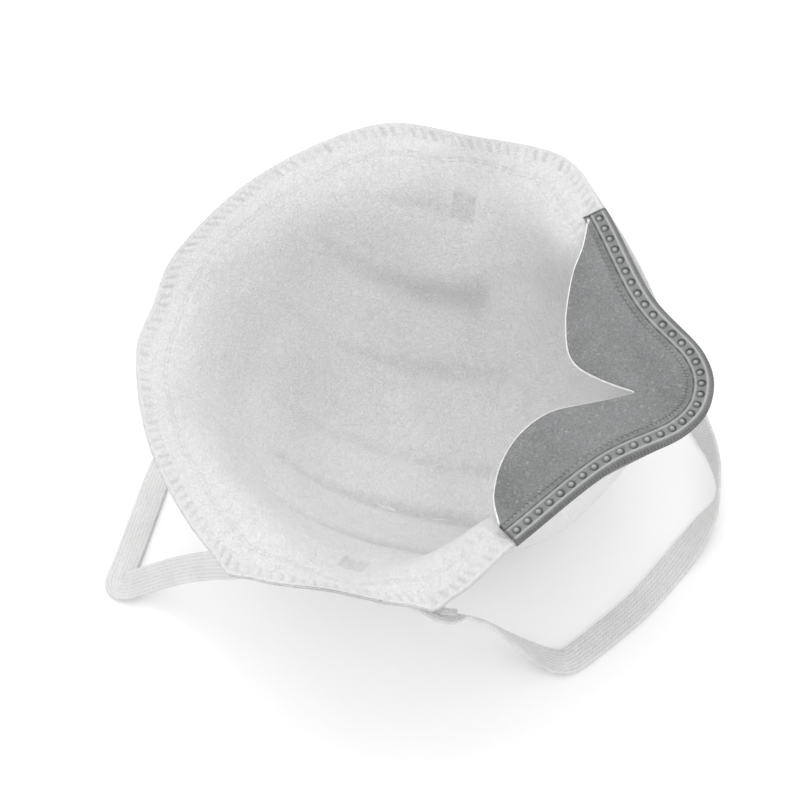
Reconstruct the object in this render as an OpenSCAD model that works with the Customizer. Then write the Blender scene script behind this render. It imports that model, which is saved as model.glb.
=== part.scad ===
// Cup-shaped disposable dust mask, resting on its dome with the face side up.
// +Z runs from the dome to the opening, +Y from the chin to the nose, X across the face.
// The origin is on the table, under the middle of the mask.

/* [Cup] */
// Width of the cup over its strap corners
cup_w = 132; // [120:1:140]
// Length of the cup from the chin edge to the nose edge
cup_l = 137; // [128:1:146]
// Height of the nose and chin edges above the table
cup_h = 52.5; // [49:0.5:58]

/* [Layers] */
// Thickness of the soft inner liner
liner_t = 0.5; // [0.3:0.1:0.6]
// Thickness of the filter layer
filter_t = 0.5; // [0.3:0.1:0.6]
// Thickness of the stiff moulded shell
support_t = 0.7; // [0.5:0.1:0.8]
// Thickness of the outer cover
cover_t = 0.5; // [0.3:0.1:0.6]
// Thickness of the nose clip between the shell and the cover
clip_t = 0.6; // [0.4:0.1:0.8]
// Share of the full thickness that the welded rim is pressed to
rim_press = 0.5; // [0.4:0.05:0.8]

/* [Nose seal] */
// Thickness of the foam pad
pad_t = 2.8; // [2:0.2:4]
// Width of the folded edge band on the face side
band_face_w = 5.4; // [4:0.2:6]
// Width of the folded edge band on the outside
band_back_w = 3; // [2:0.2:4]
// Thickness of the folded edge band
band_t = 0.8; // [0.5:0.1:1]

/* [Headbands] */
// Width of the flat elastic
strap_w = 7; // [5:0.5:8]
// Thickness of the flat elastic
strap_t = 1; // [0.6:0.1:1.2]

/* [Hidden] */

// Colours
white = [0.93, 0.94, 0.94];
warm_white = [0.95, 0.95, 0.93];
grey = [0.52, 0.53, 0.54];
metal = [0.75, 0.76, 0.78];
filter_blue = [0.86, 0.90, 0.94];

// Half outlines from the chin to the nose; z counts from the nose-to-chin line.
// The base outline is 132 wide and 137 long, and the driving sizes scale it.
rim_half = [
    [0, -67.5, 0.5], [17, -66, 1.5], [43, -52.5, 1.5], [65, -28.5, -0.5], [66, -3.5, -1],
    [64, 20.5, -1.5], [47.5, 34.5, 1.5], [24.5, 50.5, 1], [11, 65.5, 0.5], [0, 69.5, 0]
];
shoulder_half = [
    [0, -60.5, -3.5], [19, -57, -3], [38, -42.5, -3.5], [52, -24.5, -5], [61, -2.5, -6],
    [54, 14.5, -5], [41, 26.5, -3], [25, 45, -2], [10, 59.5, -2.5], [0, 63, -3]
];
// Free inner edge of the foam pad, from its end at the cheek to the notch
pad_edge_half = [
    [43, 31, 2.8], [35, 28, 0.8], [26, 27.5, -0.4], [18, 29, -1], [12, 32, -1],
    [8, 37, -1], [4, 44.5, -0.5], [0, 51.5, -0.5]
];
size_scale = [cup_w / 132, cup_l / 137, 1];

// The cup below its shoulder: half width, chin and nose half lengths, height
belly = [41, 45, 47, 27];
low = [22, 28, 30, 8.5];

// Distance of each layer's faces from the inside of the cup
layer_gap = 0.1;
liner_out = liner_t;
filter_in = liner_out + layer_gap;
filter_out = filter_in + filter_t;
support_in = filter_out + layer_gap;
support_out = support_in + support_t;
clip_in = support_out + layer_gap;
clip_out = clip_in + clip_t;
cover_in = clip_out + layer_gap;
cover_out = cover_in + cover_t;

// Stations round the cup, counted in points of the outline, and rows down its side
points_round = 18;
steps_per_point = 3;
stations = points_round * steps_per_point;
rows = [0, 0.4, 0.8, 1.1, 1.3, 1.55, 1.8, 2.1, 2.45, 2.8, 3.2, 3.6];
nose_at = 9;
clip_rows = [1.1, 1.3];
clip_reach = 7 / 3;

// Where the edge band and the foam pad start and stop, counted from the nose
band_reach = 3;
pad_reach = 2.7;
fit_gap = 0.25;
fold_gap = 0.4;

// Side straps under the flange
side_gap = 0.7;
side_mid = 4;
side_mid_row = 1.35;
side_end_row = 0.35;
side_steps = 12;

// Headband routes: x, y, z and how far the flat elastic is turned on edge, in degrees
upper_route = [
    [67.5, 20.5, 49, 90], [66, 25, 38, 60], [62, 31.5, 26, 38], [56.5, 39, 11, 24],
    [50, 45.5, 2.4, 6], [42, 52, 0.8, 0], [31, 59, 0.8, 0], [18, 65, 0.8, 0],
    [6, 70.5, 2.3, 30], [-3, 73, 4.3, 85], [-13, 69.5, 4.3, 75], [-24, 62, 4.5, 50],
    [-38, 52.5, 10, 60], [-52, 41.5, 22, 80], [-62.5, 29, 37, 90], [-67.5, 20.5, 49, 90]
];
lower_route = [
    [68.9, -28.5, 49, -90], [67.4, -35, 40, -94], [61.5, -48, 29, -112], [57.5, -60, 14, -115],
    [54, -68.5, 3.8, -145], [48, -70.8, 0.9, -180], [40, -70.9, 0.8, -180], [30, -70.9, 0.8, -180],
    [17, -70.6, 0.8, -180], [0, -68, 1.2, -180], [-20, -63, 4, -160], [-40, -54, 15, -120],
    [-58.3, -42, 33, -100], [-68.9, -28.5, 49, -90]
];
strap_steps = 3;

// --- Curves ---------------------------------------------------------------

function unit(v) = v / norm(v);
function mix(a, b, t) = a + (b - a) * t;

// A half outline, mirrored into a closed ring of points
function full_ring(half) = concat(
    half, [for (k = [len(half) - 2 : -1 : 1]) [-half[k].x, half[k].y, half[k].z]]);

// Smooth cubic through four points, between the second and the third
function cubic(p0, p1, p2, p3, t) = 0.5 * (2 * p1 + (p2 - p0) * t
    + (2 * p0 - 5 * p1 + 4 * p2 - p3) * t * t + (3 * p1 - p0 - 3 * p2 + p3) * t * t * t);

// Point on a closed ring at station u
function ring_point(ring, u) = let (
    n = len(ring), w = ((u % n) + n) % n, k = floor(w))
    cubic(ring[(k + n - 1) % n], ring[k], ring[(k + 1) % n], ring[(k + 2) % n], w - k);

// Point on an open line of points at parameter t
function line_point(line, t) = let (
    last = len(line) - 1, k = min(floor(t), last - 1))
    cubic(line[max(k - 1, 0)], line[k], line[k + 1], line[min(k + 2, last)], t - k);

// Smooth curve through four unevenly spaced points, between the second and the third
function even_tangent(a, b, c) = let (
    d0 = norm(b - a), d1 = norm(c - b))
    (d1 / d0 * (b - a) + d0 / d1 * (c - b)) / (d0 + d1);
function section_curve(p0, p1, p2, p3, t) = let (
    d = norm(p2 - p1), m1 = even_tangent(p0, p1, p2) * d, m2 = even_tangent(p1, p2, p3) * d)
    (2 * t ^ 3 - 3 * t ^ 2 + 1) * p1 + (t ^ 3 - 2 * t ^ 2 + t) * m1
    + (3 * t ^ 2 - 2 * t ^ 3) * p2 + (t ^ 3 - t ^ 2) * m2;

// --- The inside of the cup --------------------------------------------------

function sized(half) = [for (p = half) [p.x * size_scale.x, p.y * size_scale.y, p.z + cup_h]];
rim_ring = full_ring(sized(rim_half));
shoulder_ring = full_ring(sized(shoulder_half));
pad_edge = sized(pad_edge_half);

function rim_at(u) = ring_point(rim_ring, u);
function shoulder_at(u) = ring_point(shoulder_ring, u);

// Oval ring at the bearing of the shoulder point
function oval_at(u, oval) = let (
    p = shoulder_at(u), a = oval[0] * size_scale.x,
    b = (p.y < 0 ? oval[1] : oval[2]) * size_scale.y, turn = atan2(p.y / b, p.x / a))
    [a * cos(turn), b * sin(turn), oval[3]];
apex = [0, 0, cover_out];

// Point on the inside at station u and row s: 0 rim, 1 shoulder, 2 belly, 3 low, 4 apex
function section_points(u) = let (r = rim_at(u), s = shoulder_at(u)) [
    2 * r - s, r, s, oval_at(u, belly), oval_at(u, low), apex,
    oval_at(u + points_round / 2, low)];
function on_section(p, s) = let (k = max(0, min(floor(s), 3)))
    section_curve(p[k], p[k + 1], p[k + 2], p[k + 3], s - k);
function inside_point(u, s) = on_section(section_points(u), s);

probe = 0.02;
function inward(u, s) = let (
    down = inside_point(u, min(s + probe, 4)) - inside_point(u, max(s - probe, 0)),
    round = inside_point(u + probe, s) - inside_point(u - probe, s))
    unit(cross(round, down));
function pressed(s) = s < 1 ? mix(rim_press, 1, max(s, 0)) : 1;
function cup_point(u, s, out) = inside_point(u, s) - inward(u, s) * out * pressed(s);

cup_grid = [for (s = rows) [for (i = [0 : stations - 1]) inside_point(i / steps_per_point, s)]];
cup_inward = [for (s = rows) [for (i = [0 : stations - 1]) inward(i / steps_per_point, s)]];
function shifted_grid(out) = [for (r = [0 : len(rows) - 1])
    cup_grid[r] - out * pressed(rows[r]) * cup_inward[r]];

// --- Solids from grids of points ---------------------------------------------

function flat_list(lists) = [for (l = lists) each l];

// Closed bowl between two faces of the cup
module bowl(inner_out, outer_out) {
    n = stations;
    m = len(rows);
    inner = flat_list(shifted_grid(inner_out));
    outer = flat_list(shifted_grid(outer_out));
    points = concat(inner, [apex - [0, 0, inner_out]], outer, [apex - [0, 0, outer_out]]);
    inner_apex = n * m;
    o = n * m + 1;
    faces = [
        for (r = [0 : m - 2], i = [0 : n - 1]) let (j = (i + 1) % n,
            a = r * n + i, b = r * n + j, c = a + n, d = b + n)
            each [[a, c, d], [a, d, b], [o + a, o + b, o + d], [o + a, o + d, o + c]],
        for (i = [0 : n - 1]) let (j = (i + 1) % n, a = (m - 1) * n + i, b = (m - 1) * n + j)
            each [[a, inner_apex, b], [o + a, o + b, o + inner_apex],
                [o + i, i, j], [o + i, j, o + j]]
    ];
    polyhedron(points, faces);
}

// Closed slab between two grids of the same size, each a list of rows
module slab(upper, lower) {
    m = len(upper);
    n = len(upper[0]);
    o = m * n;
    edge = concat(
        [for (i = [0 : n - 1]) i], [for (r = [1 : m - 1]) r * n + n - 1],
        [for (i = [n - 2 : -1 : 0]) (m - 1) * n + i], [for (r = [m - 2 : -1 : 1]) r * n]);
    faces = [
        for (r = [0 : m - 2], i = [0 : n - 2]) let (a = r * n + i, b = a + 1, c = a + n, d = c + 1)
            each [[a, c, d], [a, d, b], [o + a, o + b, o + d], [o + a, o + d, o + c]],
        for (k = [0 : len(edge) - 1]) let (a = edge[k], b = edge[(k + 1) % len(edge)])
            each [[a, b, o + b], [a, o + b, o + a]]
    ];
    polyhedron(concat(flat_list(upper), flat_list(lower)), faces);
}

// --- The layers ---------------------------------------------------------------

module inner_liner() color(warm_white) bowl(0, liner_out);
module filter_layer() color(filter_blue) bowl(filter_in, filter_out);
module support_shell() color(white) bowl(support_in, support_out);
module outer_cover() color(white) bowl(cover_in, cover_out);

// Soft metal strip over the nose, held between the shell and the cover
module nose_clip() {
    places = [for (u = [nose_at - clip_reach : 1 / steps_per_point : nose_at + clip_reach + probe]) u];
    color(metal) slab([for (s = clip_rows) [for (u = places) cup_point(u, s, clip_in)]],
        [for (s = clip_rows) [for (u = places) cup_point(u, s, clip_out)]]);
}

// --- The nose seal --------------------------------------------------------------

// Point by the flange, a way in from its edge: above the face side, or below the outside
function flange_row(u, in) = in / norm(shoulder_at(u) - rim_at(u));
function above_flange(u, in, up) = cup_point(u, flange_row(u, in), 0)
    + inward(u, max(flange_row(u, in), 0)) * up;
function below_flange(u, in, down) = cup_point(u, flange_row(u, in), cover_out)
    - inward(u, max(flange_row(u, in), 0)) * down;

module nose_edge_band() {
    steps = 18;
    places = [for (k = [-steps : steps]) nose_at + k * band_reach / steps];
    function fold(gap) = let (past = -gap - fold_gap) [
        for (in = [band_face_w, band_face_w / 2, 0, past]) [for (u = places) above_flange(u, in, gap)],
        for (in = [past, 0, band_back_w]) [for (u = places) below_flange(u, in, gap)]];
    color(grey) slab(fold(fit_gap + band_t), fold(fit_gap));
}

module nose_foam_pad() {
    outer_in = band_face_w + fit_gap;
    outer_lift = 0.3;
    steps = 15;
    share = [0, 0.35, 0.7, 1];
    sag = [0, 0.3, 0.3, 0];
    function edge_point(k) = let (side = k < 0 ? -1 : 1,
        p = line_point(pad_edge, (1 - abs(k) / steps) * (len(pad_edge) - 1)))
        [-side * p.x, p.y, p.z];
    function pad_row(r, lift) = [for (k = [-steps : steps])
        let (a = above_flange(nose_at + k * pad_reach / steps, outer_in, outer_lift + lift),
            b = edge_point(k) - [0, 0, pad_t - lift])
            mix(a, b, share[r]) - [0, 0, sag[r] * (1 - (k / steps) ^ 2)]];
    color(grey) slab([for (r = [0 : 3]) pad_row(r, pad_t)], [for (r = [0 : 3]) pad_row(r, 0)]);
}

// --- Elastic ----------------------------------------------------------------------

// Flat elastic welded to the outside at mid side, running under the flange to both corners
module side_strap() {
    places = [for (k = [-side_steps : side_steps]) k / side_steps];
    function row_at(t) = mix(side_mid_row, side_end_row, abs(t) ^ 1.5);
    function out_at(t) = -inward(side_mid + t, max(row_at(t), probe));
    function middle(t) = inside_point(side_mid + t, row_at(t)) + out_at(t) * (cover_out + side_gap);
    function edge_pair(t, lift) = let (
        along = unit(middle(min(t + probe, 1)) - middle(max(t - probe, -1))),
        side = unit(cross(along, out_at(t))), p = middle(t) + out_at(t) * lift)
        [p + side * strap_w / 2, p - side * strap_w / 2];
    function face(lift) = [for (k = [0, 1]) [for (t = places) edge_pair(t, lift)[k]]];
    color(white) slab(face(strap_t), face(0));
}
module side_strap_right() side_strap();
module side_strap_left() mirror([1, 0, 0]) side_strap();

// Flat elastic along a route of points, each with its turn on edge
module headband(route) {
    sized_route = [for (p = route) [p[0] * size_scale.x, p[1] * size_scale.y, p[2], p[3]]];
    last = len(route) - 1;
    places = [for (k = [0 : last * strap_steps]) k / strap_steps];
    function at(t) = let (p = line_point(sized_route, t)) [p[0], p[1], p[2]];
    function turn_at(t) = line_point(sized_route, t)[3];
    function edge_pair(t, lift) = let (
        along = unit(at(min(t + probe, last)) - at(max(t - probe, 0))),
        flat_side = unit(cross(along, [0, 0, 1])), flat_up = cross(flat_side, along),
        side = cos(turn_at(t)) * flat_side + sin(turn_at(t)) * flat_up,
        up = cross(side, along), p = at(t) + up * lift)
        [p + side * strap_w / 2, p - side * strap_w / 2];
    function face(lift) = [for (k = [0, 1]) [for (t = places) edge_pair(t, lift)[k]]];
    color(warm_white) slab(face(strap_t / 2), face(-strap_t / 2));
}
module upper_headband() headband(upper_route);
module lower_headband() headband(lower_route);

outer_cover();
support_shell();
filter_layer();
inner_liner();
nose_clip();
nose_foam_pad();
nose_edge_band();
side_strap_left();
side_strap_right();
upper_headband();
lower_headband();
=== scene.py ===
"""Looks of a cup-shaped disposable dust mask lying on its dome, built round its CAD frame."""
import math
import bpy
import numpy as np
from mathutils import Matrix, Vector


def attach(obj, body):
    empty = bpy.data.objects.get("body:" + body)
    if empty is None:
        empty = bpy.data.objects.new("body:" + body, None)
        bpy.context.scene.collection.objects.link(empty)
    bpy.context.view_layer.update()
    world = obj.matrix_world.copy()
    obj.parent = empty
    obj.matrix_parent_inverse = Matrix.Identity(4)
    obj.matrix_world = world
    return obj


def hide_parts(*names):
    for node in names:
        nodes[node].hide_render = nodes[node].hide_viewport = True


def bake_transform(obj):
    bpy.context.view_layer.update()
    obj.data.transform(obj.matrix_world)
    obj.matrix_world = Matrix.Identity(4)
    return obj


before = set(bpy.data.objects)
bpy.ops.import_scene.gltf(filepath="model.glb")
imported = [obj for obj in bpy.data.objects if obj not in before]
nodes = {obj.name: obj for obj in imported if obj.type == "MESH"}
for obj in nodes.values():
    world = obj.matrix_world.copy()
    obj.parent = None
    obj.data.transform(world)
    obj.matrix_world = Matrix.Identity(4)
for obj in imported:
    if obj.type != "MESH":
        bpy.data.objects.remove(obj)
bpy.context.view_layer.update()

# Shapes are worked out in millimetres and turned into metres when a mesh is made
MM = 0.001
SEED = 7

# --- Driving sizes, the same as in the CAD model ---------------------------------
CUP_H = 52.5
RIM_HALF = [
    (0, -67.5, 0.5), (17, -66, 1.5), (43, -52.5, 1.5), (65, -28.5, -0.5), (66, -3.5, -1),
    (64, 20.5, -1.5), (47.5, 34.5, 1.5), (24.5, 50.5, 1), (11, 65.5, 0.5), (0, 69.5, 0)]
SHOULDER_HALF = [
    (0, -60.5, -3.5), (19, -57, -3), (38, -42.5, -3.5), (52, -24.5, -5), (61, -2.5, -6),
    (54, 14.5, -5), (41, 26.5, -3), (25, 45, -2), (10, 59.5, -2.5), (0, 63, -3)]
BELLY = (41, 45, 47, 27)
LOW = (22, 28, 30, 8.5)
RIM_PRESS = 0.24
LINER = (0, 0.5)
FILTER = (0.6, 1.1)
SUPPORT = (1.2, 1.9)
COVER = (2.7, 3.2)
POINTS_ROUND = 18
NOSE_AT = 9
BAND_REACH = 3
BAND_FACE_W = 5.4
BAND_BACK_W = 3
BAND_T = 0.38
FIT_GAP = 0.08
PAD_REACH = 2.93
STRAP_W = 7
STRAP_T = 1

# --- Curves ------------------------------------------------------------------------


def unit(v):
    return v / np.maximum(np.linalg.norm(v, axis=-1, keepdims=True), 1e-9)


def cubic(p0, p1, p2, p3, t):
    return 0.5 * (2 * p1 + (p2 - p0) * t + (2 * p0 - 5 * p1 + 4 * p2 - p3) * t ** 2
                  + (3 * p1 - p0 - 3 * p2 + p3) * t ** 3)


def full_ring(half):
    right = np.array(half, float) + [0, 0, CUP_H]
    left = right[-2:0:-1] * [-1, 1, 1]
    return np.vstack([right, left])


def ring_point(ring, u):
    n = len(ring)
    w = np.mod(u, n)
    k = np.floor(w).astype(int)
    t = (w - k)[..., None]
    return cubic(ring[(k - 1) % n], ring[k % n], ring[(k + 1) % n], ring[(k + 2) % n], t)


def line_point(line, t):
    """Point on an open line of points; the line may carry more than three numbers a point."""
    line = np.array(line, float)
    last = len(line) - 1
    k = np.clip(np.floor(t).astype(int), 0, last - 1)
    f = (t - k)[..., None]
    return cubic(line[np.maximum(k - 1, 0)], line[k], line[k + 1], line[np.minimum(k + 2, last)], f)


def smooth(a, b, x):
    t = np.clip((x - a) / (b - a), 0, 1)
    return t * t * (3 - 2 * t)


def bell(x, width):
    return np.exp(-(x / width) ** 2)


# --- The inside of the cup: station u round it, row s from rim 0 to apex 4 ------------

RIM = full_ring(RIM_HALF)
SHOULDER = full_ring(SHOULDER_HALF)
APEX = np.array([0, 0, COVER[1]])
PROBE = 0.02
EARS = (3.06, 4.96)
EAR_PULL = 1.5
EAR_WIDTH = 0.13


def oval_at(u, oval):
    p = ring_point(SHOULDER, u)
    a = oval[0]
    b = np.where(p[..., 1] < 0, oval[1], oval[2])
    turn = np.arctan2(p[..., 1] / b, p[..., 0] / a)
    return np.stack([a * np.cos(turn), b * np.sin(turn), np.full_like(turn, oval[3])], -1)


def even_tangent(a, b, c):
    d0 = np.linalg.norm(b - a, axis=-1, keepdims=True)
    d1 = np.linalg.norm(c - b, axis=-1, keepdims=True)
    return (d1 / d0 * (b - a) + d0 / d1 * (c - b)) / (d0 + d1)


def rim_point(u):
    """Rim outline, drawn out to a small point where the straps leave it on the right side."""
    pull = sum(EAR_PULL * bell(u - ear, EAR_WIDTH) for ear in EARS)
    p = ring_point(RIM, u)
    return p + unit(p * [1, 1, 0]) * pull[..., None]


def inside(u, s):
    u, s = np.broadcast_arrays(np.asarray(u, float), np.asarray(s, float))
    r, h = rim_point(u), ring_point(SHOULDER, u)
    apex = np.broadcast_to(APEX, r.shape)
    p = np.stack([2 * r - h, r, h, oval_at(u, BELLY), oval_at(u, LOW), apex,
                  oval_at(u + POINTS_ROUND / 2, LOW)])
    k = np.clip(np.floor(s).astype(int), 0, 3)
    pick = [np.take_along_axis(p, (k + i)[None, ..., None], 0)[0] for i in range(4)]
    t = (s - k)[..., None]
    d = np.linalg.norm(pick[2] - pick[1], axis=-1, keepdims=True)
    m1 = even_tangent(*pick[:3]) * d
    m2 = even_tangent(*pick[1:]) * d
    return ((2 * t ** 3 - 3 * t ** 2 + 1) * pick[1] + (t ** 3 - 2 * t ** 2 + t) * m1
            + (3 * t ** 2 - 2 * t ** 3) * pick[2] + (t ** 3 - t ** 2) * m2)


def inward(u, s):
    down = inside(u, np.minimum(s + PROBE, 4)) - inside(u, np.maximum(s - PROBE, 0))
    around = inside(u + PROBE, s) - inside(u - PROBE, s)
    return unit(np.cross(around, down))


def cup_point(u, s, out):
    press = RIM_PRESS + (1 - RIM_PRESS) * np.clip(s, 0, 1)
    return inside(u, s) - inward(u, s) * out * press[..., None]


def flange_w(u):
    return np.linalg.norm(ring_point(SHOULDER, u) - ring_point(RIM, u), axis=-1)


def rim_arc(u):
    """Length along the rim from the chin, in millimetres, at station u."""
    table_u = np.linspace(-1, POINTS_ROUND + 1, 4001)
    p = ring_point(RIM, table_u)
    steps = np.linalg.norm(np.diff(p, axis=0), axis=1)
    arc = np.concatenate([[0], np.cumsum(steps)])
    return np.interp(u, table_u, arc)


# --- Relief pressed into the webs: positive towards the inside of the cup -------------

rng = np.random.default_rng(SEED)
WAVES = [(unit(rng.normal(size=3)), 2 * math.pi / rng.uniform(9, 34), rng.uniform(0, 6.28))
         for _ in range(28)]


def waviness(p):
    total = sum(np.sin(p @ d * k + phase) for d, k, phase in WAVES)
    return total / math.sqrt(len(WAVES))


# Lengthwise ribs in plan: start, end, half width, depth
RIBS = [
    ((1.5, -40), (2.5, 14), 2.3, 0.6), ((18, -34), (20, 18), 2.5, 1.3),
    ((-19, -41), (-22, 12), 2.3, 0.6), ((35.5, -27), (38.5, 11), 2.2, 1.0),
    ((-34.5, -34), (-36, 3), 2.9, 1.3), ((-48, -23), (-51, -8), 1.8, 0.6)]
PATCH = (52.6, -3.4)
PATCH_HALF = (3.2, 2.8)
DASH_PITCH = 2.6
DASH_ROWS = (0.7, 3.9)
LINE_ROWS = (7.7, 8.7)
DASH_SLANT = 0.45
DASH_DEPTH = 0.2
DASH_HALF = 0.55
LINE_DEPTH = 0.13


def rib_relief(p):
    total = np.zeros(p.shape[:-1])
    for start, end, half, depth in RIBS:
        a, b = np.array(start, float), np.array(end, float)
        d = b - a
        t = np.clip(((p[..., :2] - a) @ d) / (d @ d), 0, 1)
        gap = np.linalg.norm(p[..., :2] - (a + t[..., None] * d), axis=-1)
        swell = half * (0.55 + 0.6 * t)
        total -= depth * (0.35 + 0.65 * smooth(0, 0.7, t)) * bell(gap, swell)
    return total


def patch_relief(p):
    x, y = np.abs(p[..., 0]) - PATCH[0], p[..., 1] - PATCH[1]
    edge = np.maximum(np.abs(x) - PATCH_HALF[0] * 0.8, np.abs(y) - PATCH_HALF[1])
    lattice = 0.5 + 0.5 * np.cos(x * 4.4) * np.cos(y * 3.6)
    return -(0.3 + 0.22 * lattice) * (1 - smooth(-0.3, 0.3, edge)) * (p[..., 2] > 20)


def facet_relief(p):
    """Edge of a softly folded facet beside the left weld patch."""
    x, y = p[..., 0] + 61.5, p[..., 1] + 14.2
    across, along = (18.7 * y - 8.9 * x) / 20.7, (18.7 * x + 8.9 * y) / 20.7
    ends = smooth(-2, 1, along) * (1 - smooth(12, 24, along))
    return 0.55 * smooth(-0.5, 0.5, across) * (1 - smooth(3, 17, across)) * ends


def weld_relief(u, s):
    """Oblique weld dashes along the edge, and the fine double line inside them."""
    wide = flange_w(u)
    inset = s * wide
    arc = rim_arc(u)
    cell = (arc + DASH_SLANT * inset) / DASH_PITCH
    index = np.floor(cell)
    chance = np.modf(np.abs(np.sin(index * 12.9898) * 43758.5453))[0]
    across = (cell - index - 0.5) * DASH_PITCH
    window = smooth(DASH_ROWS[0], DASH_ROWS[0] + 0.5, inset) * (
        1 - smooth(DASH_ROWS[1] - 0.7, DASH_ROWS[1], inset))
    dashes = -DASH_DEPTH * (0.35 + 0.65 * chance) * bell(across, DASH_HALF) * window
    fit = np.minimum(1, 0.92 * wide / LINE_ROWS[1])
    lines = sum(-LINE_DEPTH * bell(inset - row * fit, 0.3) for row in LINE_ROWS)
    broken = 0.55 + 0.45 * np.sin(arc * 2.1) * np.sin(arc * 0.37 + 1)
    return (dashes + lines * broken) * (s < 1.1)


def crinkle(u, s, p):
    """Soft radial crinkles where the wide flange was gathered at the ears."""
    arc = rim_arc(u)
    ear = bell(u - 5.6, 0.9) + bell(u - 12.4, 0.9) + 0.6 * bell(u - 3.2, 0.8) + 0.6 * bell(u - 14.8, 0.8)
    ripple = np.sin(arc * 1.15 + 0.5 * np.sin(arc * 0.41)) + 0.6 * np.sin(arc * 2.3 + 2)
    return 0.16 * ripple * ear * smooth(0.05, 0.35, s) * (1 - smooth(0.8, 1.15, s))


WAVE_DEPTH = 0.16
TABLE_STOP = 0.8


def shared_relief(u, s, p):
    """What all the layers follow together; the table stops it where the dome rests."""
    total = (rib_relief(p) + patch_relief(p) + facet_relief(p) + crinkle(u, s, p)
             + WAVE_DEPTH * waviness(p) * smooth(0, 0.6, s))
    return np.maximum(total, -TABLE_STOP * np.maximum(p[..., 2] - COVER[1], 0))


def hidden_relief(u, s, p):
    """The inner layers lie a little deeper under the welded flange."""
    return shared_relief(u, s, p) - 0.12 * (1 - smooth(0.6, 1, s))


def liner_relief(u, s, p):
    return shared_relief(u, s, p) + weld_relief(u, s)


def cover_relief(u, s, p):
    return shared_relief(u, s, p) - 0.5 * weld_relief(u, s)


def weld_grey_and_rib_shade(u, s, p):
    """How hard each point of the liner was pressed: it greys the fibres at the weld dashes, weld lines and
    strap patch, and paints shade into the rib grooves.
    """
    return np.clip(-0.5 * rib_relief(p) - 3.4 * weld_relief(u, s) - 0.9 * patch_relief(p), 0, 1)


# --- Meshes from grids ---------------------------------------------------------------


def make_piece(name, verts, faces, material, body="mask"):
    mesh = bpy.data.meshes.new(name)
    mesh.from_pydata((np.asarray(verts) * MM).tolist(), [], [tuple(f) for f in faces])
    mesh.validate()
    mesh.update()
    mesh.polygons.foreach_set("use_smooth", [True] * len(mesh.polygons))
    piece = bpy.data.objects.new(name, mesh)
    bpy.context.scene.collection.objects.link(piece)
    mesh.materials.append(material)
    if body:
        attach(piece, body)
    return piece


def point_values(piece, **values):
    for name, value in values.items():
        layer = piece.data.attributes.new(name, "FLOAT", "POINT")
        layer.data.foreach_set("value", np.asarray(value, np.float32).ravel())


def grid_quads(rows, columns, start=0, closed=False, flip=False):
    r, c = np.meshgrid(np.arange(rows - 1), np.arange(columns if closed else columns - 1), indexing="ij")
    a = start + r * columns + c
    b = start + r * columns + (c + 1) % columns
    quads = np.stack([a, a + columns, b + columns, b], -1).reshape(-1, 4)
    return quads[:, ::-1] if flip else quads


EDGE_ROLL = 0.12


def bowl(name, outs, relief, material, stations, inner_rows, outer_rows):
    """A closed bowl between two faces of the cup, with relief on both."""
    u = np.arange(stations) * POINTS_ROUND / stations
    grids = []
    for rows, out in ((inner_rows, outs[0]), (outer_rows, outs[1])):
        uu, ss = np.meshgrid(u, rows)
        base = inside(uu, ss)
        grids.append(cup_point(uu, ss, out) + inward(uu, ss) * relief(uu, ss, base)[..., None])
    inner, outer = (g.reshape(-1, 3) for g in grids)
    tips = [APEX - [0, 0, outs[0]], APEX - [0, 0, outs[1]]]
    n_in, n_out = len(inner), len(outer)
    middle = (grids[0][0] + grids[1][0]) / 2 - unit(ring_point(SHOULDER, u) - ring_point(RIM, u)) * EDGE_ROLL
    verts = np.vstack([inner, outer, middle, tips])
    tip_in = n_in + n_out + stations
    j = (np.arange(stations) + 1) % stations
    i = np.arange(stations)
    last_in, last_out = n_in - stations, n_in + n_out - stations
    ring = n_in + n_out
    faces = [*grid_quads(len(inner_rows), stations, 0, True),
             *grid_quads(len(outer_rows), stations, n_in, True, True),
             *np.stack([last_in + i, np.full(stations, tip_in), last_in + j], -1),
             *np.stack([last_out + i, last_out + j, np.full(stations, tip_in + 1)], -1),
             *np.stack([i, j, ring + j, ring + i], -1),
             *np.stack([ring + i, ring + j, n_in + j, n_in + i], -1)]
    piece = make_piece(name, verts, faces, material)
    uu, ss = np.meshgrid(u, inner_rows)
    # The press value: greying at the welds and strap patch, plus painted shade in the rib grooves.
    weld_grey_and_rib_shade_values = weld_grey_and_rib_shade(uu, ss, inside(uu, ss)).ravel()
    point_values(piece, press=np.concatenate([weld_grey_and_rib_shade_values, np.zeros(len(verts) - n_in)]))
    return piece


def slab(name, upper, lower, material, body="mask"):
    """A closed slab between two grids of points of the same size."""
    m, n = upper.shape[:2]
    o = m * n
    edge = np.concatenate([np.arange(n), np.arange(1, m) * n + n - 1,
                           (m - 1) * n + np.arange(n - 2, -1, -1), np.arange(m - 2, 0, -1) * n])
    after = np.roll(edge, -1)
    faces = [*grid_quads(m, n), *grid_quads(m, n, o, False, True),
             *np.stack([edge, after, o + after, o + edge], -1)]
    return make_piece(name, np.vstack([upper.reshape(-1, 3), lower.reshape(-1, 3)]), faces, material, body)


# --- Materials -----------------------------------------------------------------------


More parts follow.
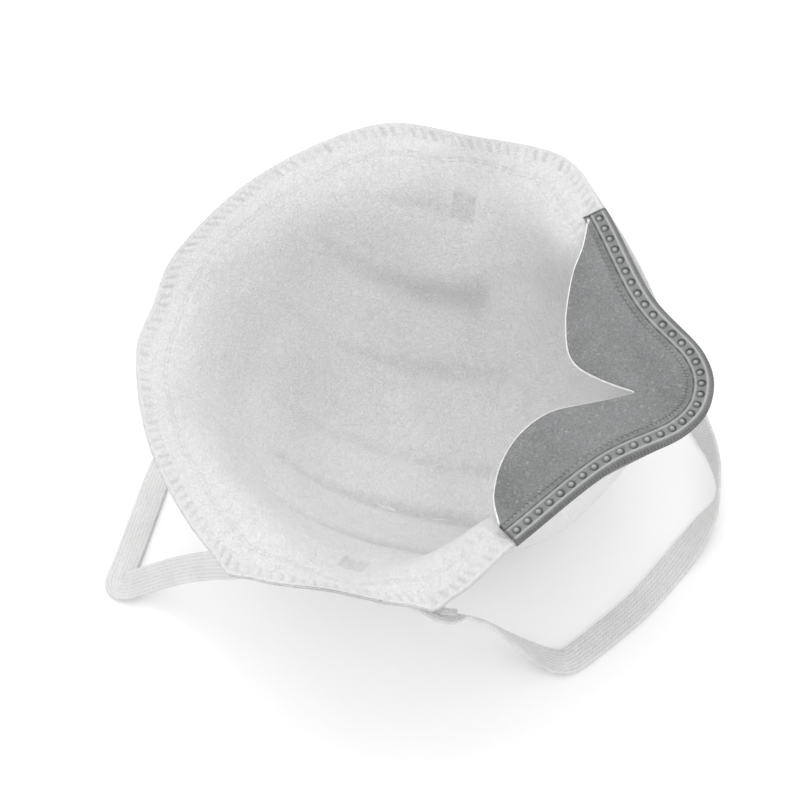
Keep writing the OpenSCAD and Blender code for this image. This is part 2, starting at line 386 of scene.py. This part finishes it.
class Nodes:
    """Short way to build a material's node tree."""

    def __init__(self, name):
        self.material = bpy.data.materials.new(name)
        self.material.use_nodes = True
        self.tree = self.material.node_tree
        self.shader = self.tree.nodes["Principled BSDF"]

    def add(self, kind, values=None, **settings):
        node = self.tree.nodes.new("ShaderNode" + kind)
        for key, value in settings.items():
            setattr(node, key, value)
        for key, value in (values or {}).items():
            if isinstance(value, bpy.types.NodeSocket):
                self.tree.links.new(value, node.inputs[key])
            else:
                node.inputs[key].default_value = value
        return node

    def place(self, scale=(1, 1, 1), turn=(0, 0, 0)):
        where = self.add("TexCoord").outputs["Object"]
        return self.add("Mapping", {"Vector": where, "Scale": scale, "Rotation": turn}).outputs[0]

    def noise(self, scale, detail=4.0, rough=0.55, where=None, twist=0.0):
        values = {"Vector": where or self.place(), "Scale": scale, "Detail": detail,
                  "Roughness": rough, "Distortion": twist}
        return self.add("TexNoise", values).outputs["Fac"]

    def cells(self, scale, feature="F1", where=None):
        return self.add("TexVoronoi", {"Vector": where or self.place(), "Scale": scale},
                        feature=feature).outputs["Distance"]

    def maths(self, operation, a, b=0.0):
        return self.add("Math", {0: a, 1: b}, operation=operation).outputs[0]

    def span(self, value, low, high, to_low=0.0, to_high=1.0):
        return self.add("MapRange", {"Value": value, "From Min": low, "From Max": high,
                                     "To Min": to_low, "To Max": to_high}).outputs[0]

    def blend(self, fac, a, b):
        node = self.add("Mix", data_type="RGBA")
        for socket, value in ((node.inputs[0], fac), (node.inputs[6], a), (node.inputs[7], b)):
            if isinstance(value, bpy.types.NodeSocket):
                self.tree.links.new(value, socket)
            else:
                socket.default_value = value
        return node.outputs[2]

    def value(self, name):
        return self.add("Attribute", attribute_name=name).outputs["Fac"]

    def finish(self, colour, heights, rough=0.9, sheen=0.0, specular=0.3, rough_link=None):
        """heights: list of (value, distance in metres), stacked as bumps."""
        self.tree.links.new(colour, self.shader.inputs["Base Color"])
        self.shader.inputs["Roughness"].default_value = rough
        self.shader.inputs["Sheen Weight"].default_value = sheen
        self.shader.inputs["Specular IOR Level"].default_value = specular
        if rough_link is not None:
            self.tree.links.new(rough_link, self.shader.inputs["Roughness"])
        normal = None
        for height, distance in heights:
            values = {"Height": height, "Distance": distance, "Strength": 1.0}
            if normal is not None:
                values["Normal"] = normal
            normal = self.add("Bump", values).outputs["Normal"]
        self.tree.links.new(normal, self.shader.inputs["Normal"])
        return self.material


def grey(level, warm=0.0):
    return (level * (1 + warm), level, level * (1 - warm), 1)


def felt(name, light, dark, fibre=1.0, sheen=0.15):
    """Needled or spunbonded white web: fine fibres, small tufts and faint mottling."""
    n = Nodes(name)
    bent = n.add("VectorMath", {0: n.place(), 1: (0, 0, 0)}, operation="ADD")
    warp = n.add("TexNoise", {"Vector": n.place(), "Scale": 420.0, "Detail": 2.0}).outputs["Color"]
    push = n.add("VectorMath", {0: warp, "Scale": 0.0022}, operation="SCALE").outputs[0]
    n.tree.links.new(push, bent.inputs[1])
    where = bent.outputs[0]
    strands = n.maths("MINIMUM", n.cells(620.0, "DISTANCE_TO_EDGE", where),
                      n.cells(980.0, "DISTANCE_TO_EDGE", where))
    thread = n.span(strands, 0.0, 0.09, 1.0, 0.0)
    tufts = n.noise(1500.0, 5.0, 0.7)
    mottle = n.noise(55.0, 5.0, 0.6)
    cloud = n.noise(16.0, 3.0, 0.5)
    tone = n.maths("ADD", n.span(mottle, 0.35, 0.68, 0.0, 0.5), n.span(cloud, 0.35, 0.65, 0.0, 0.5))
    body = n.blend(tone, grey(dark), grey(light))
    # Darkens by the press value: grey at the welds and strap patch, and painted shade in the rib grooves.
    body = n.blend(n.span(n.value("press"), 0.0, 1.0, 0.0, 0.75), body, grey(dark * 0.62))
    fleck = n.span(n.maths("MULTIPLY", thread, n.noise(240.0, 3.0)), 0.25, 0.6, 0.0, 0.35 * fibre)
    colour = n.blend(fleck, body, grey(min(1.0, light * 1.06)))
    return n.finish(colour, [(tufts, 0.00016 * fibre), (thread, 0.00007 * fibre),
                             (n.noise(170.0, 4.0, 0.6), 0.00035 * fibre)],
                    rough=0.95, sheen=sheen, specular=0.12)


def foam(name):
    """Mid-grey fine-celled foam with a skin of tiny open cells."""
    n = Nodes(name)
    cells = n.cells(1700.0)
    grain = n.noise(1900.0, 3.0, 0.75)
    cloud = n.noise(45.0, 4.0, 0.6)
    ink = n.value("ink")
    tone = n.maths("ADD", n.span(grain, 0.3, 0.7, 0.0, 0.55), n.span(cloud, 0.3, 0.7, 0.0, 0.45))
    body = n.blend(tone, grey(0.13, -0.012), grey(0.31, -0.012))
    speck = n.span(n.noise(1100.0, 2.0), 0.6, 0.72, 0.0, 0.45)
    body = n.blend(speck, body, grey(0.42))
    # Darkens the stitch ticks, and paints shade along the join with the band.
    colour = n.blend(n.span(ink, 0.0, 1.0, 0.0, 0.8), body, grey(0.07))
    return n.finish(colour, [(cells, 0.00022), (grain, 0.00014), (n.noise(300.0, 3.0), 0.0002)],
                    rough=0.92, sheen=0.1, specular=0.18)


def band_film(name):
    """Grey foam film folded over the rim, pressed with a row of small rings."""
    n = Nodes(name)
    grain = n.noise(2400.0, 3.0, 0.7)
    cloud = n.noise(120.0, 5.0, 0.65)
    ink = n.value("ink")
    tone = n.maths("ADD", n.span(grain, 0.3, 0.7, 0.0, 0.4), n.span(cloud, 0.3, 0.7, 0.0, 0.6))
    body = n.blend(tone, grey(0.13, -0.012), grey(0.29, -0.012))
    # Painted highlight: the raised ring centres and two lines along the band are lightened.
    painted_highlight = n.span(n.value("lift"), 0.0, 1.0, 0.0, 0.7)
    body = n.blend(painted_highlight, body, grey(0.55, -0.01))
    # Darkens the rings, band ends, crease, fold and stitch ticks; one side of each ring groove is painted
    # shade.
    colour = n.blend(n.span(ink, 0.0, 1.0, 0.0, 0.92), body, grey(0.028))
    return n.finish(colour, [(grain, 0.00014), (n.noise(500.0, 4.0), 0.00025)],
                    rough=0.7, sheen=0.05, specular=0.35)


def pale_edge(name):
    n = Nodes(name)
    tone = n.span(n.noise(600.0, 4.0), 0.3, 0.7)
    colour = n.blend(tone, grey(0.66), grey(0.86))
    return n.finish(colour, [(n.noise(1800.0, 3.0), 0.0001)], rough=0.85, specular=0.2)


def elastic(name):
    """White knitted elastic: lengthwise ribs with small stitches along them."""
    n = Nodes(name)
    along, across = n.value("along"), n.value("across")
    where = n.add("CombineXYZ", {"X": along, "Y": across, "Z": 0.0}).outputs[0]
    stitch = n.add("TexWave", {"Vector": where, "Scale": 0.62, "Distortion": 1.2, "Detail": 2.0,
                               "Detail Scale": 1.5}, bands_direction="DIAGONAL").outputs["Fac"]
    cross = n.add("TexWave", {"Vector": where, "Scale": 0.5, "Distortion": 0.6, "Detail": 1.0},
                  bands_direction="X").outputs["Fac"]
    fuzz = n.noise(2200.0, 4.0, 0.7)
    cloud = n.noise(70.0, 3.0, 0.5)
    valley = n.value("valley")
    tone = n.maths("ADD", n.span(stitch, 0.0, 1.0, 0.0, 0.3), n.span(cloud, 0.3, 0.7, 0.0, 0.7))
    body = n.blend(tone, grey(0.66), grey(0.79, 0.004))
    # Painted shade in the valleys between the ribs, broken up by noise.
    valley_shade = n.maths("MULTIPLY", valley, n.span(n.noise(900.0, 3.0), 0.35, 0.65, 0.25, 1.0))
    colour = n.blend(n.span(valley_shade, 0.1, 1.0, 0.0, 0.4), body, grey(0.42))
    return n.finish(colour, [(stitch, 0.00005), (cross, 0.00003), (fuzz, 0.0002)],
                    rough=0.85, sheen=0.25, specular=0.2)


def clip_metal(name):
    n = Nodes(name)
    brushed = n.noise(60.0, 6.0, 0.7, n.place((1, 30, 30)))
    colour = n.blend(brushed, grey(0.5), grey(0.72))
    rough = n.span(n.noise(300.0, 4.0), 0.3, 0.7, 0.35, 0.55)
    n.shader.inputs["Metallic"].default_value = 1.0
    return n.finish(colour, [(brushed, 0.00003)], specular=0.5, rough_link=rough)


LINER_FELT = felt("liner_felt", 0.72, 0.655, 1.0)
COVER_FELT = felt("cover_spunbond", 0.74, 0.68, 0.8)
SHELL_FELT = felt("shell_fibre", 0.85, 0.78, 1.2)
FILTER_FELT = felt("filter_web", 0.9, 0.84, 0.6)
FOAM = foam("pad_foam")
BAND = band_film("band_film")
PALE = pale_edge("pad_cut_edge")
ELASTIC = elastic("knitted_elastic")
METAL = clip_metal("clip_metal")

# --- The layers of the cup -------------------------------------------------------------

fine = 2
fine_rows = np.concatenate([np.linspace(0, 1.15, 26 * fine), np.linspace(1.2, 3.95, 34 * fine)])
plain_rows = np.concatenate([np.linspace(0, 1, 6), np.linspace(1.2, 3.9, 16)])
hidden_rows = np.concatenate([np.linspace(0, 1, 9), np.linspace(1.06, 3.92, 50)])

liner = bowl("inner_liner_felt", LINER, liner_relief, LINER_FELT, 540 * fine, fine_rows, plain_rows)
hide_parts("inner_liner")
filter_web = bowl("filter_web", FILTER, hidden_relief, FILTER_FELT, 450, hidden_rows, hidden_rows)
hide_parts("filter_layer")
support = bowl("moulded_shell", SUPPORT, hidden_relief, SHELL_FELT, 450, hidden_rows, hidden_rows)
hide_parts("support_shell")
cover = bowl("outer_cover_web", COVER, cover_relief, COVER_FELT, 540 * fine, plain_rows, fine_rows)
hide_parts("outer_cover")

# --- Nose band: a grey film folded over the rim, with pressed rings --------------------

RING_COUNT = 35
RING_IN = 2.1
RING_R = 0.88
CREASE_IN = 3.95
TICK_PITCH = 1.25
FOLD_TICKS = 7.3
FLAP_DROP = 0.1
FOLD_START = 0.1
FOLD_BULGE = 0.15
BAND_STEPS = 720
HALF_BAND = float(rim_arc(NOSE_AT) - rim_arc(NOSE_AT - BAND_REACH))
RING_PITCH = 2 * HALF_BAND / (RING_COUNT + 0.4)


def above_flange(u, inset, up):
    s = inset / flange_w(u)
    return cup_point(u, s, 0) + inward(u, np.maximum(s, 0)) * up[..., None]


def below_flange(u, inset, down):
    s = inset / flange_w(u)
    return cup_point(u, s, COVER[1]) - inward(u, np.maximum(s, 0)) * down[..., None]


def band_flap(u, inset, up):
    """Point on the band's face: it runs in from the rim almost level, clear of the flange."""
    rim = above_flange(u, np.zeros_like(u), up)
    along = unit((ring_point(RIM, u + PROBE) - ring_point(RIM, u - PROBE)) * [1, 1, 0])
    level_in = np.cross([0, 0, 1], along)
    return rim + level_in * inset[..., None] - np.array([0, 0, 1]) * (FLAP_DROP * inset[..., None])


def band_marks(u, inset):
    """Height, darkening and painted highlight of the rings, the crease and the stitch ticks on the face side;
    one side of each ring groove gets painted shade.
    """
    arc = rim_arc(u) - rim_arc(np.array(float(NOSE_AT)))
    dx = (arc / RING_PITCH - np.round(arc / RING_PITCH)) * RING_PITCH
    dy = inset - RING_IN
    r = np.hypot(dx, dy)
    inside_run = np.abs(arc) < RING_COUNT / 2 * RING_PITCH
    groove = bell(r - RING_R, 0.23) * inside_run
    # Painted shade: one side of each ring groove is darker than the other.
    groove_shaded_side = 0.68 + 0.32 * np.clip((dx * 0.5 - dy) / RING_R, -1, 1)
    crease = bell(inset - CREASE_IN, 0.16) * (0.8 + 0.2 * np.sin(arc * 1.7))
    tick_x = (arc / TICK_PITCH - np.round(arc / TICK_PITCH)) * TICK_PITCH
    ticks = bell(tick_x, 0.17) * smooth(4.75, 4.9, inset)
    second = 0.5 * bell(inset - 4.6, 0.14) * (0.6 + 0.4 * np.sin(arc * 2.9 + 1))
    height = -0.34 * groove + 0.2 * bell(r, 0.45) * inside_run - 0.3 * crease - 0.12 * ticks
    ends = bell(HALF_BAND - 0.3 - np.abs(arc), 0.3)
    ink = np.clip(1.15 * groove * groove_shaded_side + 0.8 * ends + 0.95 * crease + 0.5 * ticks + second, 0, 1)
    # Painted highlight on the raised ring centres and on two lines along the band.
    lift = np.clip(0.9 * bell(r, 0.42) * inside_run + 0.7 * bell(inset - 3.3, 0.2)
                   + 0.9 * bell(inset - 0.55, 0.22), 0, 1)
    return height, ink, lift


def nose_band():
    along = BAND_STEPS
    u = np.linspace(NOSE_AT - BAND_REACH, NOSE_AT + BAND_REACH, along)
    face_in = np.linspace(BAND_FACE_W, FOLD_START, 30)
    fold = np.linspace(0, math.pi, 10)
    back_in = np.linspace(FOLD_START, BAND_BACK_W, 12)
    skins, inks, lifts = [], [], []
    for gap in (FIT_GAP + BAND_T, FIT_GAP):
        rows, ink_rows, lift_rows = [], [], []
        for inset in face_in:
            height, ink, lift = band_marks(u, np.full(along, inset))
            rows.append(band_flap(u, np.full(along, inset), gap + height * (gap > FIT_GAP)))
            ink_rows.append(ink)
            lift_rows.append(lift)
        top = band_flap(u, np.full(along, FOLD_START), np.full(along, gap))
        low = below_flange(u, np.full(along, FOLD_START), np.full(along, gap))
        out = -unit(ring_point(SHOULDER, u) - ring_point(RIM, u))
        for turn in fold[1:-1]:
            across = (top + low) / 2 + (top - low) / 2 * math.cos(turn)
            rows.append(across + out * math.sin(turn) * (gap + FOLD_BULGE))
            # The fold is darkened all along, with darker ticks on it.
            ink_rows.append(0.3 + 0.35 * smooth(0.3, 0.9, np.sin(rim_arc(u) * FOLD_TICKS)) * (turn > 0.8))
            lift_rows.append(np.zeros(along))
        for inset in back_in:
            rows.append(below_flange(u, np.full(along, inset), np.full(along, gap)))
            ink_rows.append(0.35 * bell(inset - 1.6, 0.3) * (np.sin(rim_arc(u) * FOLD_TICKS) > 0))
            lift_rows.append(np.zeros(along))
        skins.append(np.array(rows))
        inks.append(np.array(ink_rows))
        lifts.append(np.array(lift_rows))
    piece = slab("nose_band_film", skins[0], skins[1], BAND)
    point_values(piece, ink=np.concatenate([inks[0].ravel(), inks[1].ravel()]),
                 lift=np.concatenate([lifts[0].ravel(), lifts[1].ravel()]))
    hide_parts("nose_edge_band")
    return piece


nose_band()

# --- Foam pad: a flap from the band to its free inner edge, notched over the nose -------

PAD_EDGE = [
    (-43.8, 31.6, 2.3), (-36.5, 31.8, 0.8), (-29, 31, -0.3), (-20, 31.5, -1), (-13.5, 32.6, -1),
    (-6.5, 34.8, -1), (-2.8, 38, -0.8), (-0.6, 43, -0.6), (0.7, 48, -0.5), (1.6, 52.2, -0.5),
    (3, 50.5, -0.5), (5.4, 46, -0.5), (7.8, 40, -0.8), (10.4, 34.6, -1), (14.5, 30.6, -1),
    (19.5, 27.9, -1), (25, 26.6, -0.5), (30.5, 26.3, 0), (37, 27.2, 0.8), (44, 30.2, 2.3)]
PAD_TIP = 9
PAD_TUCK = 0.15
PAD_AT_BAND = (0.44, -1.2)
PAD_AT_EDGE = (0.55, 1.25)
PAD_CROWN = 0.45
PAD_ROLL = 0.35
PAD_SAG = 0.5


def pad_edge_point(v):
    """Free edge at v from -1 at the left cheek to 1 at the right one, 0 at the notch's tip."""
    last = len(PAD_EDGE) - 1
    t = np.where(v < 0, PAD_TIP * (1 + v), PAD_TIP + (last - PAD_TIP) * v)
    return line_point(PAD_EDGE, t) + [0, 0, CUP_H]


def foam_pad():
    across, along = 60, 640
    v = np.linspace(-1, 1, along)
    u = NOSE_AT - v * PAD_REACH
    start_in = BAND_FACE_W - PAD_TUCK
    edge = pad_edge_point(v)
    ends = 1 - v ** 2
    faces_of = []
    inks = []
    for top in (True, False):
        rows, ink_rows = [], []
        for q in np.linspace(0, 1, across):
            a = band_flap(u, np.full(along, start_in), np.full(along, PAD_AT_BAND[0 if top else 1]))
            b = edge - [0, 0, PAD_AT_EDGE[0 if top else 1]]
            p = a * (1 - q) + b * q
            crown = np.sin(math.pi * q) ** 0.6 * ends ** 0.5
            if top:
                rise = PAD_CROWN * crown + PAD_ROLL * smooth(0.5, 0.9, q) * ends
                p = p + np.stack([0 * v, 0 * v, rise + 0.1 * waviness(p * 0.8)], -1)
            else:
                p = p - np.stack([0 * v, 0 * v, PAD_SAG * crown], -1)
            rows.append(p)
            inset = q * np.linalg.norm(b - a, axis=-1)
            arc = rim_arc(u)
            tick_x = (arc / TICK_PITCH - np.round(arc / TICK_PITCH)) * TICK_PITCH
            # Painted shade along the pad's join with the band, plus the stitch ticks.
            ink_rows.append(np.clip(0.5 * bell(inset, 0.2) + 0.6 * bell(tick_x, 0.16) * (inset < 0.95), 0, 1))
        faces_of.append(np.array(rows))
        inks.append(np.array(ink_rows))
    piece = slab("nose_foam", faces_of[0][:, ::-1], faces_of[1][:, ::-1], FOAM)
    point_values(piece, ink=np.concatenate([k[:, ::-1].ravel() for k in inks]))
    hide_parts("nose_foam_pad")
    return piece


foam_pad()


def tube(name, path, radius, sides, material, body="mask"):
    """A round bead along an open path of points."""
    along = unit(np.gradient(path, axis=0))
    side = unit(np.cross(along, [0, 0, 1]))
    up = np.cross(side, along)
    turns = np.arange(sides) * 2 * math.pi / sides
    ring = [path + radius * (math.cos(a) * side + math.sin(a) * up) for a in turns]
    grid = np.stack(ring, 1)
    m = len(path)
    verts = np.vstack([grid.reshape(-1, 3), path[:1], path[-1:]])
    i = np.arange(sides)
    j = (i + 1) % sides
    faces = [*grid_quads(m, sides, 0, True),
             *np.stack([i, j, np.full(sides, m * sides)], -1),
             *np.stack([(m - 1) * sides + j, (m - 1) * sides + i, np.full(sides, m * sides + 1)], -1)]
    return make_piece(name, verts, faces, material, body)


CUT_EDGE_R = 0.36
CUT_EDGE_DROP = 0.75
edge_path = pad_edge_point(np.linspace(-0.995, 0.995, 260)) - [0, 0, CUT_EDGE_DROP]
pale_bead = tube("pad_cut_edge", edge_path, CUT_EDGE_R, 8, PALE)

# --- Elastic -----------------------------------------------------------------------------

RIB_COUNT = 8
RIB_DEPTH = 0.09
# Each point is x, y, z and the turn of the width about the direction of travel, in degrees.
# Past the right corners the routes run up to 10 mm inside the CAD ones.
UPPER_ROUTE = [
    (60.5, 14.5, 45.8, 35), (62.4, 18.2, 45.6, 20), (62.8, 21.9, 43.5, 22), (59.3, 23.9, 36, 25),
    (55, 26.8, 26, 24), (52.3, 29.6, 17, 21), (50.5, 32.8, 9, 25), (49.8, 36.2, 4, 25),
    (49.8, 40, 1.6, 17), (49.2, 44.6, 0.9, 3), (45.4, 48.2, 0.8, 0), (38.5, 53.3, 0.8, 0),
    (30, 59, 0.8, 0), (18, 65, 0.8, 0), (6, 70, 2.3, 30), (-3, 72, 4.3, 85), (-13, 69, 4.3, 75),
    (-24, 62, 4.5, 50), (-38, 52.5, 10, 60), (-52, 41.5, 22, 80), (-61.5, 29.5, 35, 88),
    (-64.5, 22.5, 42.5, 100), (-62.5, 16.5, 45.4, 135), (-59.5, 11, 45.6, 155)]
LOWER_ROUTE = [
    (60, -21, 45.4, -25), (61.2, -26, 44.4, -60), (59.3, -31, 39.5, -100), (56.2, -37, 32, -130),
    (52.8, -45.5, 21.5, -140), (51, -54, 12.5, -145), (51.2, -62, 5.8, -150), (52.6, -68.2, 2.2, -165),
    (51.4, -70.9, 0.9, -180), (47, -70.9, 0.8, -180), (40, -70.8, 0.8, -180), (30, -70.8, 0.8, -180),
    (17, -70.6, 0.8, -180), (0, -68, 1.2, -180), (-20, -63, 4, -165), (-40, -54, 15, -120),
    (-58.3, -42, 33, -100), (-65.3, -31.5, 42.5, -100), (-63.6, -25, 45.2, -135), (-60.5, -19.5, 45.2, -155)]


def webbing(name, centre, side, material, body, wide=STRAP_W):
    """Flat knitted elastic along a centreline, with lengthwise ribs on both faces."""
    along = unit(np.gradient(centre, axis=0))
    side = unit(side - along * np.sum(side * along, -1, keepdims=True))
    up = np.cross(side, along)
    far = np.concatenate([[0], np.cumsum(np.linalg.norm(np.diff(centre, axis=0), axis=1))])
    w = np.linspace(-1, 1, 65)
    cell = (w + 1) / 2 * RIB_COUNT
    rib = 1 - np.maximum(bell(cell - np.round(cell), 0.26), 0)
    edge = np.sqrt(np.clip(1 - np.abs(w) ** 12, 0, 1))
    half = (STRAP_T / 2 - RIB_DEPTH + RIB_DEPTH * rib) * (0.35 + 0.65 * edge)
    faces_of = []
    for sign in (1, -1):
        faces_of.append(centre[None] + side[None] * (w * wide / 2)[:, None, None]
                        + up[None] * (sign * half)[:, None, None])
    piece = slab(name, faces_of[1], faces_of[0], material, body)
    layers = {"along": np.tile(far, (len(w), 1)),
              "across": np.tile((w * STRAP_W / 2)[:, None], (1, len(far))),
              "valley": np.tile((1 - rib)[:, None], (1, len(far)))}
    point_values(piece, **{k: np.concatenate([a.ravel(), a.ravel()]) for k, a in layers.items()})
    return piece


def route_frames(route, per_point=12):
    p = line_point(route, np.linspace(0, len(route) - 1, (len(route) - 1) * per_point + 1))
    centre = p[:, :3]
    along = unit(np.gradient(centre, axis=0))
    flat = unit(np.cross(along, [0, 0, 1]))
    up = np.cross(flat, along)
    turn = np.radians(p[:, 3:4])
    return centre, np.cos(turn) * flat + np.sin(turn) * up


def headband(name, route, node):
    centre, side = route_frames(route)
    piece = webbing(name, centre, side, ELASTIC, None)
    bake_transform(piece)
    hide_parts(node)
    return piece


headband("upper_elastic", UPPER_ROUTE, "upper_headband")
headband("lower_elastic", LOWER_ROUTE, "lower_headband")

TAIL_W = 1.5
# Cut end of the elastic, standing out a little past the upper right corner
TAIL = np.array([(63.4, 19.5, 46.8), (63.9, 21.4, 46.8), (63.7, 23, 46.7), (63.3, 24.6, 46.5)])
webbing("elastic_tail", TAIL, np.tile((0.9, 0.2, -0.3), (len(TAIL), 1)), ELASTIC, "mask", TAIL_W)

SIDE_MID = 4
SIDE_MID_ROW = 1.35
SIDE_END_ROW = 0.35
SIDE_GAP = 0.7


def side_elastic(name, mirror, node):
    t = np.linspace(-1, 1, 90)
    row = SIDE_MID_ROW + (SIDE_END_ROW - SIDE_MID_ROW) * np.abs(t) ** 1.5
    outward = -inward(SIDE_MID + t, row)
    centre = inside(SIDE_MID + t, row) + outward * (COVER[1] + SIDE_GAP + STRAP_T / 2)
    side = np.cross(unit(np.gradient(centre, axis=0)), outward)
    centre, side = centre * [mirror, 1, 1], side * [mirror, 1, 1]
    piece = webbing(name, centre, side, ELASTIC, "mask")
    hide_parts(node)


side_elastic("side_elastic_right", 1, "side_strap_right")
side_elastic("side_elastic_left", -1, "side_strap_left")

# --- Nose clip: the CAD strip with its own metal -------------------------------------------

nodes["nose_clip"].data.materials.clear()
nodes["nose_clip"].data.materials.append(METAL)

# --- Camera, floor and light ----------------------------------------------------------------

VIEW_AZ, VIEW_EL, VIEW_ROLL = 113.864, 56.952, -10.687
LENS_MM = 97.32
AIM = (0, -3.5, 47.5)
NUDGE_RIGHT, NUDGE_DOWN = -1.87, 10.2
DISTANCE = 520


def place_camera():
    az, el, roll = (math.radians(a) for a in (VIEW_AZ, VIEW_EL, VIEW_ROLL))
    back = Vector((math.sin(az) * math.cos(el), -math.cos(az) * math.cos(el), math.sin(el)))
    level = Vector((math.cos(az), math.sin(az), 0))
    over = back.cross(level)
    right = math.cos(roll) * level + math.sin(roll) * over
    up = -math.sin(roll) * level + math.cos(roll) * over
    spot = Vector(AIM) + NUDGE_RIGHT * right - NUDGE_DOWN * up + DISTANCE * back
    data = bpy.data.cameras.new("camera")
    data.lens = LENS_MM
    data.sensor_width = 36
    data.clip_start = 0.01
    camera = bpy.data.objects.new("camera", data)
    rows = [[*column] for column in zip(right, up, back)]
    camera.matrix_world = Matrix.Translation(spot * MM) @ Matrix(rows).to_4x4()
    bpy.context.scene.collection.objects.link(camera)
    bpy.context.scene.camera = camera


def soft_light(name, direction, power, size, aim=(0, 0, 0.03), far=0.9):
    data = bpy.data.lights.new(name, "AREA")
    data.energy = power
    data.size = size
    light = bpy.data.objects.new(name, data)
    towards = Vector(direction).normalized()
    light.location = Vector(aim) + towards * far
    light.rotation_euler = towards.to_track_quat("Z", "Y").to_euler()
    bpy.context.scene.collection.objects.link(light)


FLOOR_HALF = 3000


def studio():
    n = Nodes("studio_floor")
    colour = n.blend(n.noise(3.0, 2.0), grey(0.955), grey(0.965))
    material = n.finish(colour, [(n.noise(400.0, 2.0), 0.00002)], rough=0.9, specular=0.1)
    corners = [(x * FLOOR_HALF, y * FLOOR_HALF, 0) for x, y in ((-1, -1), (1, -1), (1, 1), (-1, 1))]
    floor = make_piece("floor", corners, [(0, 1, 2, 3)], material, None)
    world = bpy.data.worlds.new("studio")
    world.use_nodes = True
    world.node_tree.nodes["Background"].inputs["Color"].default_value = (1, 1, 1, 1)
    world.node_tree.nodes["Background"].inputs["Strength"].default_value = 1.06
    bpy.context.scene.world = world
    soft_light("key", (-0.6, -0.35, 1.0), 2.6, 0.8)
    soft_light("fill", (0.6, 0.6, 0.8), 0.7, 0.9)
    bpy.context.scene.view_settings.view_transform = "Standard"


place_camera()
studio()

bpy.context.view_layer.update()
